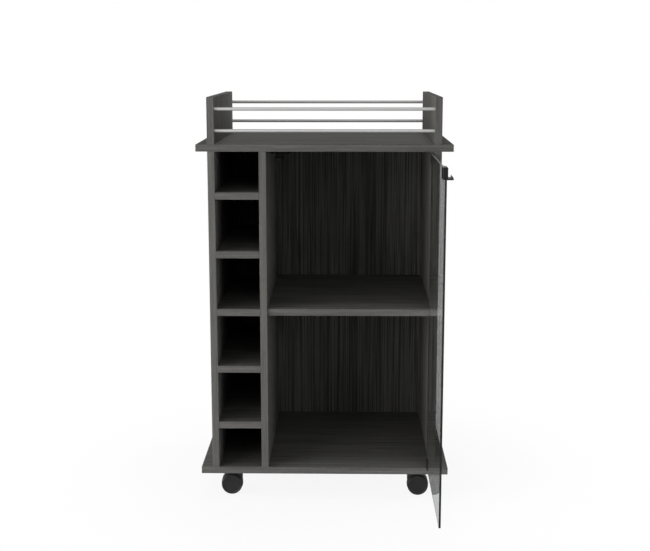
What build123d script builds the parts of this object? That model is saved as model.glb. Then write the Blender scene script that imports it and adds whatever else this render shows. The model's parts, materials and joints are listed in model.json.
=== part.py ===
"""Bar cart: a laminated-board carcass with cubbies, a glass door, a railed top and four casters.

Millimetres. +Z is up, the front faces -Y, and the origin is on the floor under the centre of the carcass.
The door stands open at a right angle, its rest position.
"""

import os

from build123d import *

# Boards and carcass
board = 15.0
edge_ease = 0.5
carcass_width = 492.0
board_overhang = 24.5
depth = 418.0
inner_height = 692.5
back_thickness = 3.0
cubby_width = 93.0
lowest_cubby_height = 88.4
highest_cubby_height = 86.1
cubby_shelf_count = 5
main_shelf_glass_gap = 0.5
rail_end_height = 98.2

# Rails
rail_diameter = 7.0
rail_edge_distance = 9.0
lower_rail_height = 28.0
upper_rail_drop = 24.9
rail_socket_depth = 8.0

# Carcass fasteners
fit_gap = 0.05
blind_wall = 4.0
dome_flat = 0.6
dome_side = 0.35
screw_head_radius = 5.0
screw_head_length = 4.0
screw_radius = 3.5
screw_length = 50.0
screw_edge_distance = 45.0
rail_screw_edge_distance = 80.0
cam_radius = 7.5
cam_back_wall = 2.5
cam_drop = 24.0
cam_edge_distance = 60.0
cam_bolt_radius = 3.0
cam_bolt_neck_radius = 2.2
cam_bolt_head = 5.0
dowel_radius = 4.0
dowel_web = 3.0
dowel_shelf_depth = 22.0
dowel_edge_distance = 50.0
nail_radius = 0.9
nail_head_radius = 2.2
nail_head_length = 1.3
nail_length = 20.0
nail_count = 5
nail_end_distance = 40.0

# Glass door and its pivot
glass_thickness = 4.0
glass_ease = 0.4
glass_recess = 1.0
glass_gap_free = 1.7
glass_past_pivot = 1.0
door_lift_room = 2.7
door_flange_gap = 0.3
liner = 0.3

# Hinge clamps, pins and bushes
clamp_inner_wall = 0.9
clamp_outer_wall = 1.8
clamp_web = 0.9
clamp_corner = 0.8
clamp_tab = 1.2
clamp_tab_reach = 4.0
clamp_grip = 19.0
clamp_length = 28.0
clamp_side_gap = 1.0
pin_radius = 1.5
pin_end_gap = 0.5
bush_wall = 0.6
bush_lip = 0.8
bush_flange = 0.8
bush_floor = 1.0
set_screw_radius = 2.0
set_screw_places = (9.0, 19.0)
set_screw_drop = 9.0

# Handle clip
clip_inner_wall = 3.1
clip_outer_wall = 1.6
clip_top_gap = 0.7
clip_grip = 19.1
clip_length = 32.0
clip_end_wall = 0.8
clip_bevel = 1.2
hook_gap = 7.0
hook_reach = 10.1
hook_leg = 3.0
hook_height = 4.0
hook_tip = 1.0

# Magnetic catch
catch_from_divider = 29.2
catch_plate = 3.8
catch_plate_width = 47.0
catch_body_width = 18.0
catch_body_drop = 14.7
catch_length = 13.0
catch_gap = 0.55
catch_wall = 1.6
pole_plate = 1.0
pole_proud = 0.6
catch_screw_spacing = 33.0
catch_screw_radius = 1.6
catch_screw_head_radius = 3.0
catch_screw_head = 1.8

# Casters
wheel_diameter = 45.8
wheel_width = 11.0
wheel_edge = 1.5
wheel_rim = 3.0
wheel_face_recess = 0.8
wheel_wall = 3.4
wheel_hub_radius = 7.0
twin_gap = 6.6
web_gap = 1.0
axle_radius = 2.5
axle_end_gap = 0.3
trail = 14.0
hood_gap = 0.5
hood_wall = 1.0
hood_inset = 2.0
hood_skirt = 10.4
web_drop = 9.0
plate_size = 40.0
plate_corner = 4.0
plate_thickness = 2.2
plate_boss_radius = 10.5
plate_boss = 2.5
collar_radius = 9.5
collar_height = 5.6
collar_gap = 0.4
kingpin_radius = 4.0
kingpin_end_gap = 0.4
caster_inset_x = 52.95
caster_inset_y = 40.5
plate_hole_edge = 6.0
plate_screw_radius = 1.9
plate_screw_head_radius = 3.9
plate_screw_head = 2.0

# Places worked out from the sizes
wheel_radius = wheel_diameter / 2
hood_inner = wheel_radius + hood_gap
hood_outer = hood_inner + hood_wall
collar_top = wheel_radius + hood_outer + collar_height
plate_bottom = collar_top + collar_gap + plate_boss
base_bottom = plate_bottom + plate_thickness
base_top = base_bottom + board
top_bottom = base_top + inner_height
top_top = top_bottom + board
rail_end_top = top_top + rail_end_height
half_width = carcass_width / 2
inner_half = half_width - board
front = -depth / 2
back = depth / 2
panel_back = back - back_thickness
divider_left = -inner_half + cubby_width
divider_right = divider_left + board
panel_centres = (-half_width + board / 2, (divider_left + divider_right) / 2, half_width - board / 2)
shared_height = inner_height - lowest_cubby_height - highest_cubby_height - board
shelf_pitch = shared_height / (cubby_shelf_count - 1)
shelf_bottoms = [base_top + lowest_cubby_height + i * shelf_pitch for i in range(cubby_shelf_count)]
main_shelf_bottom = shelf_bottoms[cubby_shelf_count // 2]
main_shelf_front = front + glass_recess + glass_thickness + main_shelf_glass_gap
blind_depth = board - blind_wall
slot_half = glass_thickness / 2 + liner
clamp_inner_half = slot_half + clamp_inner_wall
clamp_outer_half = slot_half + clamp_outer_wall
glass_bottom = base_top + bush_flange + door_flange_gap + clamp_tab + liner
glass_top = top_bottom - bush_flange - door_lift_room - clamp_tab - liner
pivot_x = inner_half - clamp_side_gap - clamp_outer_half
pivot_y = front + glass_recess + glass_thickness / 2
glass_reach = pivot_x - divider_right - glass_gap_free
catch_x = divider_right + catch_from_divider
catch_front = pivot_y + slot_half + clip_inner_wall + catch_gap + pole_proud

nodes = {}


def block(x, y, z):
    """Plain block between the pairs of limits x, y and z."""
    size = [high - low for low, high in (x, y, z)]
    middle = [(low + high) / 2 for low, high in (x, y, z)]
    return Pos(*middle) * Box(*size)


def panel(x, y, z):
    """Board between the limits, with its edges eased."""
    solid = block(x, y, z)
    return chamfer(solid.edges(), edge_ease)


def rod(radius, length, start, direction):
    """Round bar from start along direction."""
    bar = Cylinder(radius, length, align=(Align.CENTER, Align.CENTER, Align.MIN))
    return Plane(origin=start, z_dir=direction) * bar


def turned(outline, start, direction):
    """Solid turned about direction through start, from an outline of (radius, height) points."""
    face = make_face(Polyline(*[(radius, 0, height) for radius, height in outline], close=True))
    return Plane(origin=start, z_dir=direction) * revolve(face, Axis.Z)


def headed(head_radius, head_length, radius, length, start, direction, gap=0.0):
    """Countersunk fastener with its head face at start, or with a gap the hole that takes it."""
    outline = [
        (0, 0),
        (head_radius + gap, 0),
        (radius + gap, head_length),
        (radius + gap, length + gap),
        (0, length + gap),
    ]
    return turned(outline, start, direction)


def dome_screw(head_radius, head, radius, depth, start, direction):
    """Round-headed screw: its head stands off start against direction, its shank runs along it."""
    outline = [(0, -head), (head_radius * dome_flat, -head), (head_radius, -head * dome_side)]
    outline += [(head_radius, 0), (radius, 0), (radius, depth), (0, depth)]
    return turned(outline, start, direction)


def group(solids):
    """Separate solids that share one node."""
    return Compound(children=solids)


def both_ways(value):
    """The pair of places a value to either side of the middle."""
    return (-value, value)


# Fasteners and the holes that take them

up, down = (0, 0, 1), (0, 0, -1)
to_right, to_left = (1, 0, 0), (-1, 0, 0)
to_front, to_back = (0, -1, 0), (0, 1, 0)

base_screw_places = [
    (x, y, base_bottom) for x in panel_centres for y in both_ways(depth / 2 - screw_edge_distance)
]
rail_screw_places = [
    (x, y, top_bottom)
    for x in (panel_centres[0], panel_centres[2])
    for y in both_ways(depth / 2 - rail_screw_edge_distance)
]


def screw(start, gap=0.0):
    """Long board screw driven upwards, or its hole."""
    return headed(screw_head_radius, screw_head_length, screw_radius, screw_length, start, up, gap)


nodes["base_screws"] = group([screw(place) for place in base_screw_places])
nodes["rail_end_screws"] = group([screw(place) for place in rail_screw_places])
base_screw_holes = [screw(place, fit_gap) for place in base_screw_places]
rail_screw_holes = [screw(place, fit_gap) for place in rail_screw_places]

cam_depth = board - cam_back_wall
cam_faces = ((-inner_half, to_left), (divider_left, to_right), (inner_half, to_right))
cam_ys = both_ways(depth / 2 - cam_edge_distance)
cam_z = top_bottom - cam_drop
cam_bolts, cams, cam_bolt_holes, cam_pockets = [], [], [], []
for (face_x, inwards), centre_x in zip(cam_faces, panel_centres):
    for y in cam_ys:
        head_low = -cam_drop - cam_bolt_head / 2
        neck_low = head_low + cam_bolt_head
        outline = [(0, head_low), (cam_bolt_radius, head_low), (cam_bolt_radius, neck_low)]
        outline += [(cam_bolt_neck_radius, neck_low), (cam_bolt_neck_radius, 0), (cam_bolt_radius, 0)]
        outline += [(cam_bolt_radius, blind_depth), (0, blind_depth)]
        cam_bolts.append(turned(outline, (centre_x, y, top_bottom), up))
        bolt_way = rod(cam_bolt_radius + fit_gap, cam_drop + cam_bolt_head, (centre_x, y, top_bottom), down)
        thread_way = rod(cam_bolt_radius + fit_gap, blind_depth + fit_gap, (centre_x, y, top_bottom), up)
        cam = rod(cam_radius, cam_depth, (face_x, y, cam_z), inwards)
        cams.append(cam - bolt_way)
        cam_bolt_holes += [bolt_way, thread_way]
        cam_pockets.append(rod(cam_radius + fit_gap, cam_depth + fit_gap, (face_x, y, cam_z), inwards))
nodes["top_cam_bolts"] = group(cam_bolts)
nodes["top_cams"] = group(cams)

dowel_seat = (board - dowel_web) / 2
dowel_length = dowel_seat + dowel_shelf_depth
dowel_ys = (main_shelf_front + dowel_edge_distance, panel_back - dowel_edge_distance)
shelf_ends = [(bottom, face, side) for bottom in shelf_bottoms
              for face, side in ((-inner_half, to_right), (divider_left, to_left))]
shelf_ends += [(main_shelf_bottom, divider_right, to_right), (main_shelf_bottom, inner_half, to_left)]
dowels, dowel_holes = [], []
for bottom, face_x, into_shelf in shelf_ends:
    for y in dowel_ys:
        start = (face_x - into_shelf[0] * dowel_seat, y, bottom + board / 2)
        dowels.append(rod(dowel_radius, dowel_length, start, into_shelf))
        hole_start = (start[0] - into_shelf[0] * fit_gap, y, start[2])
        dowel_holes.append(rod(dowel_radius + fit_gap, dowel_length + 2 * fit_gap, hole_start, into_shelf))
nodes["shelf_dowels"] = group(dowels)

nail_span = inner_height - 2 * nail_end_distance
nail_zs = [base_top + nail_end_distance + i * nail_span / (nail_count - 1) for i in range(nail_count)]
nail_places = [(x, back, z) for x in panel_centres for z in nail_zs]


def nail(start, gap=0.0):
    """Flat-headed nail driven forwards, or its hole."""
    return headed(nail_head_radius, nail_head_length, nail_radius, nail_length, start, to_front, gap)


nodes["back_panel_nails"] = group([nail(place) for place in nail_places])
nail_holes = [nail(place, fit_gap) for place in nail_places]

# Carcass boards

full_depth = (front, back)
panel_depth = (front, panel_back)
panel_height = (base_top, top_bottom)
board_ends = both_ways(half_width + board_overhang)
carcass_holes = base_screw_holes + cam_bolt_holes + cam_pockets + dowel_holes + nail_holes

base_board = panel(board_ends, full_depth, (base_bottom, base_top)) - base_screw_holes
top_board = panel(board_ends, full_depth, (top_bottom, top_top)) - rail_screw_holes - cam_bolt_holes
nodes["left_side_panel"] = panel((-half_width, -inner_half), panel_depth, panel_height) - carcass_holes
nodes["right_side_panel"] = panel((inner_half, half_width), panel_depth, panel_height) - carcass_holes
nodes["divider_panel"] = panel((divider_left, divider_right), panel_depth, panel_height) - carcass_holes
nodes["back_panel"] = block(both_ways(half_width), (panel_back, back), panel_height) - nail_holes
for number, bottom in enumerate(shelf_bottoms, start=1):
    shelf = panel((-inner_half, divider_left), panel_depth, (bottom, bottom + board))
    nodes[f"cubby_shelf_{number}"] = shelf - dowel_holes
main_shelf_height = (main_shelf_bottom, main_shelf_bottom + board)
main_shelf = panel((divider_right, inner_half), (main_shelf_front, panel_back), main_shelf_height)
nodes["main_shelf"] = main_shelf - dowel_holes

# Upper end panels and rails

rail_radius = rail_diameter / 2
rail_ys = {"front": front + rail_edge_distance, "back": back - rail_edge_distance}
rail_zs = {"lower": top_top + lower_rail_height, "upper": rail_end_top - upper_rail_drop}
rail_half = inner_half + rail_socket_depth
rail_sockets = []
for side, y in rail_ys.items():
    for level, z in rail_zs.items():
        nodes[f"{side}_rail_{level}"] = rod(rail_radius, 2 * rail_half, (-rail_half, y, z), to_right)
        socket_start = (-rail_half - fit_gap, y, z)
        rail_sockets.append(rod(rail_radius + fit_gap, 2 * (rail_half + fit_gap), socket_start, to_right))
rail_end_limits = (top_top, rail_end_top)
for side, x in (("left", (-half_width, -inner_half)), ("right", (inner_half, half_width))):
    nodes[f"{side}_rail_end"] = panel(x, full_depth, rail_end_limits) - rail_sockets - rail_screw_holes

# Door glass, open: it runs forwards from the pivot, with its outer face to the right

glass_ys = (pivot_y - glass_reach, pivot_y + glass_past_pivot)
glass_xs = (pivot_x - glass_thickness / 2, pivot_x + glass_thickness / 2)
glass_blank = block(glass_xs, glass_ys, (glass_bottom, glass_top))
door_glass = chamfer(glass_blank.edges(), glass_ease)
nodes["door_glass"] = door_glass

# Hinge clamps, pins and bushes: one set at each end of the pivot axis.
# A clamp grips the hinge edge of the glass between two jaws, and a tab across its end carries the pin.

bush_radius = pin_radius + fit_gap + bush_wall
clamp_xs = (pivot_x - clamp_inner_half, pivot_x + clamp_outer_half)
slot_xs = (pivot_x - slot_half, pivot_x + slot_half)
slot_back = pivot_y + glass_past_pivot + liner
jaw_ys = (pivot_y - clamp_length, slot_back + clamp_web)
tab_ys = (pivot_y - clamp_tab_reach, slot_back + clamp_web)


def clamp_block(y, z):
    """Part of a hinge clamp between the limits, with the corners behind the glass rounded."""
    solid = block(clamp_xs, y, sorted(z))
    return fillet(solid.edges().filter_by(Axis.Z).sort_by(Axis.Y)[-2:], clamp_corner)


hinge_liners, set_screws = [], []
for name, edge, sense, board_face in (
    ("top", glass_top, 1, top_bottom),
    ("bottom", glass_bottom, -1, base_top),
):
    outwards = (0, 0, sense)
    foot = edge - sense * clamp_grip
    tab_inner = edge + sense * liner
    clamp = clamp_block(jaw_ys, (foot, edge)) + clamp_block(tab_ys, (edge, tab_inner + sense * clamp_tab))
    slot = block(slot_xs, (jaw_ys[0], slot_back), sorted((foot, edge)))
    slot += block(slot_xs, (tab_ys[0], slot_back), sorted((edge, tab_inner)))
    pin_foot = (pivot_x, pivot_y, tab_inner)
    pin_length = abs(board_face - tab_inner) + blind_depth - bush_floor - pin_end_gap
    pin_hole = rod(pin_radius + fit_gap, clamp_tab, pin_foot, outwards)
    screw_holes = []
    for place in set_screw_places:
        start = (pivot_x + clamp_outer_half, pivot_y - place, edge - sense * set_screw_drop)
        set_screws.append(rod(set_screw_radius, clamp_outer_wall, start, to_left))
        screw_holes.append(rod(set_screw_radius + fit_gap, clamp_outer_wall, start, to_left))
    nodes[f"{name}_hinge_clamp"] = clamp - slot - pin_hole - screw_holes
    nodes[f"{name}_hinge_pin"] = rod(pin_radius, pin_length, pin_foot, outwards)
    hinge_liners.append(slot - glass_blank)
    bush_outline = [
        (pin_radius + fit_gap, -bush_flange),
        (bush_radius + bush_lip, -bush_flange),
        (bush_radius + bush_lip, 0),
        (bush_radius, 0),
        (bush_radius, blind_depth),
        (0, blind_depth),
        (0, blind_depth - bush_floor),
        (pin_radius + fit_gap, blind_depth - bush_floor),
    ]
    bush_place = (pivot_x, pivot_y, board_face)
    nodes[f"{name}_hinge_bush"] = turned(bush_outline, bush_place, outwards)
    bush_hole = rod(bush_radius + fit_gap, blind_depth + fit_gap, bush_place, outwards)
    if name == "top":
        top_board -= bush_hole
    else:
        base_board -= bush_hole
nodes["hinge_liners"] = group(hinge_liners)
nodes["hinge_set_screws"] = group(set_screws)

# Handle clip: a cap over the free top corner of the glass, with a finger hook on its outer face

clip_inner = -slot_half - clip_inner_wall
clip_outer = slot_half + clip_outer_wall
clip_low = glass_top - clip_grip
clip_high = top_bottom - clip_top_gap
leg_top = clip_low + hook_leg
hook_tip_z = leg_top + hook_height
hook_inner = clip_outer + hook_gap
hook_outer = clip_outer + hook_reach
clip_outline = [
    (clip_inner + clip_bevel, clip_low),
    (clip_inner, clip_low + clip_bevel),
    (clip_inner, clip_high - clip_bevel),
    (clip_inner + clip_bevel, clip_high),
    (clip_outer - clip_bevel, clip_high),
    (clip_outer, clip_high - clip_bevel),
    (clip_outer, leg_top),
    (hook_inner, leg_top),
    (hook_inner, hook_tip_z),
    (hook_inner + hook_tip, hook_tip_z),
    (hook_outer, leg_top),
    (hook_outer, clip_low),
]
free_end = pivot_y - glass_reach
clip_front = free_end - liner - clip_end_wall
clip_back = clip_front + clip_length
clip_face = make_face(Polyline(*[(pivot_x + x, clip_back, z) for x, z in clip_outline], close=True))
clip_body = extrude(clip_face, clip_length, dir=to_front)
clip_slot = block(slot_xs, (free_end - liner, clip_back), (clip_low, glass_top + liner))
nodes["handle_clip"] = clip_body - clip_slot
nodes["handle_liner"] = clip_slot - glass_blank

# Magnetic catch under the top board, facing the clip of the closed door

catch_back = catch_front + catch_length
catch_ys = (catch_front, catch_back)
catch_low = top_bottom - catch_body_drop
plate_low = top_bottom - catch_plate
plate_xs = (catch_x - catch_plate_width / 2, catch_x + catch_plate_width / 2)
body_xs = (catch_x - catch_body_width / 2, catch_x + catch_body_width / 2)
pocket_xs = (body_xs[0] + catch_wall, body_xs[1] - catch_wall)
pocket_zs = (catch_low + catch_wall, plate_low)
pocket_ys = (catch_front, catch_back - catch_wall)
catch_body = block(plate_xs, catch_ys, (plate_low, top_bottom))
catch_body += block(body_xs, catch_ys, (catch_low, plate_low))
catch_screw_places = [
    (catch_x + x, (catch_front + catch_back) / 2, plate_low) for x in both_ways(catch_screw_spacing / 2)
]
catch_screw_length = catch_plate + blind_depth
catch_screw_holes = [
    rod(catch_screw_radius + fit_gap, catch_screw_length + fit_gap, place, up) for place in catch_screw_places
]
top_board -= catch_screw_holes
nodes["catch_housing"] = catch_body - block(pocket_xs, pocket_ys, pocket_zs) - catch_screw_holes
pole_ys = (catch_front - pole_proud, pocket_ys[1])
nodes["catch_pole_plates"] = group([
    block(pocket_xs, pole_ys, (pocket_zs[0], pocket_zs[0] + pole_plate)),
    block(pocket_xs, pole_ys, (pocket_zs[1] - pole_plate, pocket_zs[1])),
])
magnet_zs = (pocket_zs[0] + pole_plate, pocket_zs[1] - pole_plate)
nodes["catch_magnet"] = block(pocket_xs, pocket_ys, magnet_zs)
nodes["catch_screws"] = group([
    dome_screw(catch_screw_head_radius, catch_screw_head, catch_screw_radius, catch_screw_length, place, up)
    for place in catch_screw_places
])

# Casters, each made about its own kingpin, with its wheels trailing along +X

half_track = twin_gap / 2 + wheel_width
web_half = twin_gap / 2 - web_gap
hood_half = half_track - hood_inset
axle_seat = wheel_width - wheel_face_recess - wheel_wall
axle_half = twin_gap / 2 + axle_seat - axle_end_gap
kingpin_floor = wheel_radius + hood_inner
kingpin_length = plate_bottom - plate_boss - kingpin_floor - kingpin_end_gap


def across(radius, half_length):
    """Round bar along Y about the wheels' axis."""
    return rod(radius, 2 * half_length, (trail, -half_length, wheel_radius), to_back)


def caster_wheel(side):
    """One wheel: a dished disc with a raised rim outside and a hub inside, at the -Y or +Y side."""
    dish = wheel_face_recess + wheel_wall
    rim_inner = wheel_radius - wheel_rim
    outline = [
        (0, wheel_face_recess),
        (rim_inner - wheel_face_recess, wheel_face_recess),
        (rim_inner, 0),
        (wheel_radius - wheel_edge, 0),
        (wheel_radius, wheel_edge),
        (wheel_radius, wheel_width - wheel_edge),
        (wheel_radius - wheel_edge, wheel_width),
        (rim_inner, wheel_width),
        (rim_inner, dish),
        (wheel_hub_radius, dish),
        (wheel_hub_radius, wheel_width),
        (axle_radius + fit_gap / 2, wheel_width),
        (axle_radius + fit_gap / 2, dish),
        (0, dish),
    ]
    return turned(outline, (trail, side * half_track, wheel_radius), (0, -side, 0))


def caster_hood():
    """Hood over both wheels, with the web that carries the axle and the collar that turns on the kingpin."""
    reach = hood_outer + trail + collar_radius
    barrel = chamfer(across(hood_outer, hood_half).edges().filter_by(GeomType.CIRCLE), hood_wall / 2)
    wheel_room = across(hood_inner, half_track) - block(
        both_ways(2 * reach), both_ways(web_half), both_ways(2 * reach)
    )
    skirt = block(both_ways(2 * reach), both_ways(half_track), (-reach, wheel_radius + hood_skirt))
    web = across(hood_inner + hood_wall / 2, web_half)
    web -= block(both_ways(2 * reach), both_ways(half_track), (-reach, wheel_radius - web_drop))
    collar = rod(collar_radius, collar_top - wheel_radius - hood_skirt, (0, 0, wheel_radius + hood_skirt), up)
    hood = (barrel - skirt - wheel_room) + web + (collar - wheel_room)
    pin_way = rod(kingpin_radius + fit_gap, collar_top - kingpin_floor, (0, 0, kingpin_floor), up)
    return hood - pin_way - across(axle_radius + fit_gap, half_track)


def caster_plate():
    """Fixed plate with its boss and riveted kingpin."""
    half = plate_size / 2
    plate = block(both_ways(half), both_ways(half), (plate_bottom, base_bottom))
    plate = fillet(plate.edges().filter_by(Axis.Z), plate_corner)
    plate += rod(plate_boss_radius, plate_boss, (0, 0, plate_bottom), down)
    plate += rod(kingpin_radius, plate_boss + kingpin_length, (0, 0, plate_bottom), down)
    return plate - [
        rod(plate_screw_radius + fit_gap, plate_thickness, (x, y, plate_bottom), up)
        for x, y in plate_screw_spots
    ]


hole_place = plate_size / 2 - plate_hole_edge
plate_screw_spots = [(x, y) for x in both_ways(hole_place) for y in both_ways(hole_place)]
plate_screw_length = plate_thickness + blind_depth
caster_x = half_width - caster_inset_x
caster_y = depth / 2 - caster_inset_y
plate_screws = []
for end, y in (("front", -caster_y), ("rear", caster_y)):
    for side, x, turn in (("left", -caster_x, 180), ("right", caster_x, 0)):
        place = Pos(x, y, 0) * Rot(0, 0, turn)
        name = f"{end}_{side}_caster"
        nodes[f"{name}_plate"] = place * caster_plate()
        nodes[f"{name}_hood"] = place * caster_hood()
        nodes[f"{name}_axle"] = place * across(axle_radius, axle_half)
        nodes[f"{name}_wheel_a"] = place * caster_wheel(-1)
        nodes[f"{name}_wheel_b"] = place * caster_wheel(1)
        for spot_x, spot_y in plate_screw_spots:
            start = (x + spot_x, y + spot_y, plate_bottom)
            plate_screws.append(dome_screw(
                plate_screw_head_radius, plate_screw_head, plate_screw_radius, plate_screw_length, start, up
            ))
            base_board -= rod(plate_screw_radius + fit_gap, plate_screw_length + fit_gap, start, up)
nodes["caster_screws"] = group(plate_screws)
nodes["base_board"] = base_board
nodes["top_board"] = top_board

os.makedirs("parts", exist_ok=True)
for name, shape in nodes.items():
    export_step(shape, f"parts/{name}.step")
print(len(nodes), "nodes written")
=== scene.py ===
"""Looks of a rolling bar cart: oak-grain boards, a glass door, guard rails and twin-wheel casters.

Metres, in the CAD frame: +Z is up, the front faces -Y and the origin is on the floor under the carcass.
"""

import json
import logging
import math
from dataclasses import dataclass
from enum import Enum
from typing import Dict, List, Mapping, Optional, Sequence, Tuple, Union

import bmesh
import bpy
from mathutils import Matrix, Vector

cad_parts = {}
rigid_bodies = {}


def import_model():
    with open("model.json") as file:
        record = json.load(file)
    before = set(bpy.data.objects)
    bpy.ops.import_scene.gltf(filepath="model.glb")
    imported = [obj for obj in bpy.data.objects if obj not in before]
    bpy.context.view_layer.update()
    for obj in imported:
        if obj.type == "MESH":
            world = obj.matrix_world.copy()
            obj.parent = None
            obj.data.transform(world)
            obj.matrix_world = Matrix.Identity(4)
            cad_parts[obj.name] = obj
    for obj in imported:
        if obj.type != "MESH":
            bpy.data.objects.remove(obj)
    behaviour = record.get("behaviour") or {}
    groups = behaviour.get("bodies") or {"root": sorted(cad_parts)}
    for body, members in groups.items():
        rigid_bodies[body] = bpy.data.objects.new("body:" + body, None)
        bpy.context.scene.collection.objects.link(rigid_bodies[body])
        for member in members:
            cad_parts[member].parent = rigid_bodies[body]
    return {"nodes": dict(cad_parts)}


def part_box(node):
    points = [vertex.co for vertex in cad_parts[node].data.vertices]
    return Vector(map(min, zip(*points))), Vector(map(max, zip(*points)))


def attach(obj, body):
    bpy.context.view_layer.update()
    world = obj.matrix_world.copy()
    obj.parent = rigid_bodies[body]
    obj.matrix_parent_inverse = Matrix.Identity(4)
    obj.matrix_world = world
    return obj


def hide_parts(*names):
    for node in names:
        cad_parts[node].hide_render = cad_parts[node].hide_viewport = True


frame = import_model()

LOG = logging.getLogger("bar_cart")
MM = 0.001
JOIN_DISTANCE = 1e-6
FLAT_ANGLE = math.radians(0.5)
SHARP_ANGLE = math.radians(28)
EASE_ANGLE = math.radians(30)
EASE_SEGMENTS = 2

Triple = Tuple[float, float, float]
Colour = Triple
# The value where a mask is 0, then the value where it is 1
Step = Tuple[float, float]
Key = Union[str, int]


# Node trees: one wrapper serves shaders and geometry


class Signal:
    """A socket that takes part in Python expressions; each operator adds a Math node."""

    def __init__(self, tree: "NodeTree", socket: bpy.types.NodeSocket) -> None:
        """Keeps the socket and the tree that it is in."""
        self.tree = tree
        self.socket = socket

    def __add__(self, other: "Number") -> "Signal":
        """Sum."""
        return self.tree.math("ADD", self, other)

    def __radd__(self, other: "Number") -> "Signal":
        """Sum, with the number first."""
        return self.tree.math("ADD", other, self)

    def __sub__(self, other: "Number") -> "Signal":
        """Difference."""
        return self.tree.math("SUBTRACT", self, other)

    def __rsub__(self, other: "Number") -> "Signal":
        """Difference, with the number first."""
        return self.tree.math("SUBTRACT", other, self)

    def __mul__(self, other: "Number") -> "Signal":
        """Product."""
        return self.tree.math("MULTIPLY", self, other)

    def __rmul__(self, other: "Number") -> "Signal":
        """Product, with the number first."""
        return self.tree.math("MULTIPLY", other, self)

    def __truediv__(self, other: "Number") -> "Signal":
        """Quotient."""
        return self.tree.math("DIVIDE", self, other)

    def __pow__(self, other: "Number") -> "Signal":
        """Power."""
        return self.tree.math("POWER", self, other)

    def __abs__(self) -> "Signal":
        """Size without sign."""
        return self.tree.math("ABSOLUTE", self)

    def least(self, other: "Number") -> "Signal":
        """The smaller of the two."""
        return self.tree.math("MINIMUM", self, other)

    def most(self, other: "Number") -> "Signal":
        """The larger of the two."""
        return self.tree.math("MAXIMUM", self, other)

    def sine(self) -> "Signal":
        """Sine of a value in radians."""
        return self.tree.math("SINE", self)

    def rise(self, empty: float, full: float) -> "Signal":
        """Smooth step from 0 to 1; where the first value is the larger, the step falls.

        Args:
            empty: Value that gives 0.
            full: Value that gives 1.

        Returns:
            The stepped signal, between 0 and 1.
        """
        made = self.tree.node(
            "ShaderNodeMapRange",
            {"interpolation_type": "SMOOTHSTEP"},
            {"Value": self, "From Min": empty, "From Max": full, "To Min": 0.0, "To Max": 1.0},
        )
        return Signal(self.tree, made.outputs["Result"])


Number = Union[float, Signal]


class NodeTree:
    """A node tree and the one method that adds any node to it."""

    def __init__(self, tree: bpy.types.NodeTree) -> None:
        """Keeps the tree."""
        self.tree = tree

    def node(
        self,
        kind: str,
        settings: Optional[Mapping[str, object]] = None,
        inputs: Optional[Mapping[Key, object]] = None,
    ) -> bpy.types.Node:
        """Adds a node, sets its settings and then feeds its sockets.

        Args:
            kind: Blender's type name of the node.
            settings: Properties of the node, set before its sockets.
            inputs: Values, sockets or signals by socket name or number.

        Returns:
            The new node.
        """
        made = self.tree.nodes.new(kind)
        for name, value in (settings or {}).items():
            setattr(made, name, value)
        for key, value in (inputs or {}).items():
            self.feed(made.inputs[key], value)
        return made

    def feed(self, socket: bpy.types.NodeSocket, value: object) -> None:
        """Links or sets one socket; a list links several to it.

        Args:
            socket: Input socket.
            value: Signal, socket, list of them, or a plain value.
        """
        if isinstance(value, list):
            for each in value:
                self.feed(socket, each)
        elif isinstance(value, Signal):
            self.tree.links.new(value.socket, socket)
        elif isinstance(value, bpy.types.NodeSocket):
            self.tree.links.new(value, socket)
        else:
            socket.default_value = value

    def math(self, operation: str, *values: Number) -> Signal:
        """Adds a Math node on one or two values."""
        made = self.node("ShaderNodeMath", {"operation": operation}, dict(enumerate(values)))
        return Signal(self, made.outputs[0])


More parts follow.
